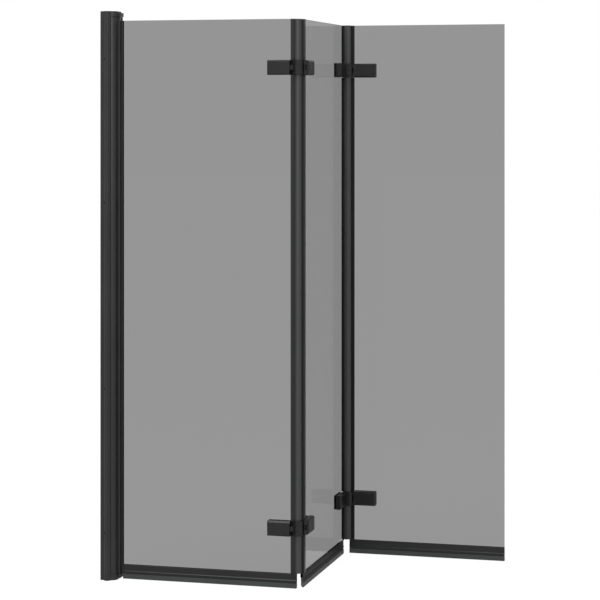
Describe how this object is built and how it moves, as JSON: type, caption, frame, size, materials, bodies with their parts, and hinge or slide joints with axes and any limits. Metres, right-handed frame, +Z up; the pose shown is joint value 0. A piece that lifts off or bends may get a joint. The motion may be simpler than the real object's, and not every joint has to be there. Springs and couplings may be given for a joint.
{
  "type": "folding bath screen",
  "caption": "Frameless folding bath screen of tinted glass panels on a wall profile, with interleaved hinges, corner seal strips and a sealing rail along the bottom.",
  "frame": {"origin": "point on the wall face of the wall channel, in line with the front face of the first glass, at mid-height of the wall profile", "axes": "+X out of the wall along the first panel, +Y along the second panel as it stands at right angles in the picture, +Z up"},
  "size_m": [0.8565, 0.4555, 1.297],
  "materials": {
    "cap_plastic": "satin",
    "dark_screw": "satin",
    "hinge_black": "satin",
    "nylon": "satin",
    "pad_rubber": "matt",
    "satin_black_metal": "satin",
    "screw_steel": "satin",
    "seal_rubber": "satin",
    "smoked_glass": "gloss"
  },
  "bodies": {
    "wall_frame": {"wall_channel": "satin_black_metal", "adjust_profile": "satin_black_metal", "adjust_screws": "dark_screw", "top_cap": "cap_plastic", "bottom_cap": "cap_plastic", "cap_screws": "screw_steel", "pivot_pins": "screw_steel"},
    "panel_1": {"pivot_bushes": "nylon", "pivot_profile": "satin_black_metal", "glazing_gasket": "seal_rubber", "glass_1": "smoked_glass", "bottom_rail_1": "satin_black_metal", "bottom_lip_1": "seal_rubber", "fold_1_ball_seal": "seal_rubber", "fold_1_low_leaf_a": "hinge_black", "fold_1_high_leaf_a": "hinge_black", "fold_1_low_plate_a": "hinge_black", "fold_1_high_plate_a": "hinge_black", "fold_1_pins": "screw_steel", "fold_1_pads_a": "pad_rubber", "fold_1_screws_a": "screw_steel"},
    "panel_2": {"glass_2": "smoked_glass", "bottom_rail_2": "satin_black_metal", "bottom_lip_2": "seal_rubber", "fold_1_cup_seal": "seal_rubber", "fold_2_cup_seal": "seal_rubber", "fold_1_low_leaf_b": "hinge_black", "fold_1_high_leaf_b": "hinge_black", "fold_1_low_plate_b": "hinge_black", "fold_1_high_plate_b": "hinge_black", "fold_1_bushes": "nylon", "fold_1_pads_b": "pad_rubber", "fold_1_screws_b": "screw_steel", "fold_2_low_leaf_a": "hinge_black", "fold_2_high_leaf_a": "hinge_black", "fold_2_low_plate_a": "hinge_black", "fold_2_high_plate_a": "hinge_black", "fold_2_pins": "screw_steel", "fold_2_pads_a": "pad_rubber", "fold_2_screws_a": "screw_steel"},
    "panel_3": {"glass_3": "smoked_glass", "bottom_rail_3": "satin_black_metal", "bottom_lip_3": "seal_rubber", "fold_2_ball_seal": "seal_rubber", "fold_2_low_leaf_b": "hinge_black", "fold_2_high_leaf_b": "hinge_black", "fold_2_low_plate_b": "hinge_black", "fold_2_high_plate_b": "hinge_black", "fold_2_bushes": "nylon", "fold_2_pads_b": "pad_rubber", "fold_2_screws_b": "screw_steel"}
  },
  "joints": [
    {"name": "wall_pivot", "type": "hinge", "parent": "wall_frame", "child": "panel_1", "pos_m": [0.022, -0.0135, 0], "axis": [0, 0, 1], "range_deg": [-90, 0]},
    {"name": "fold_1", "type": "hinge", "parent": "panel_1", "child": "panel_2", "pos_m": [0.4555, 0.0095, 0], "axis": [0, 0, 1], "range_deg": [-90, 90]},
    {"name": "fold_2", "type": "hinge", "parent": "panel_2", "child": "panel_3", "pos_m": [0.4775, 0.3985, 0], "axis": [0, 0, 1], "range_deg": [-90, 90]}
  ]
}
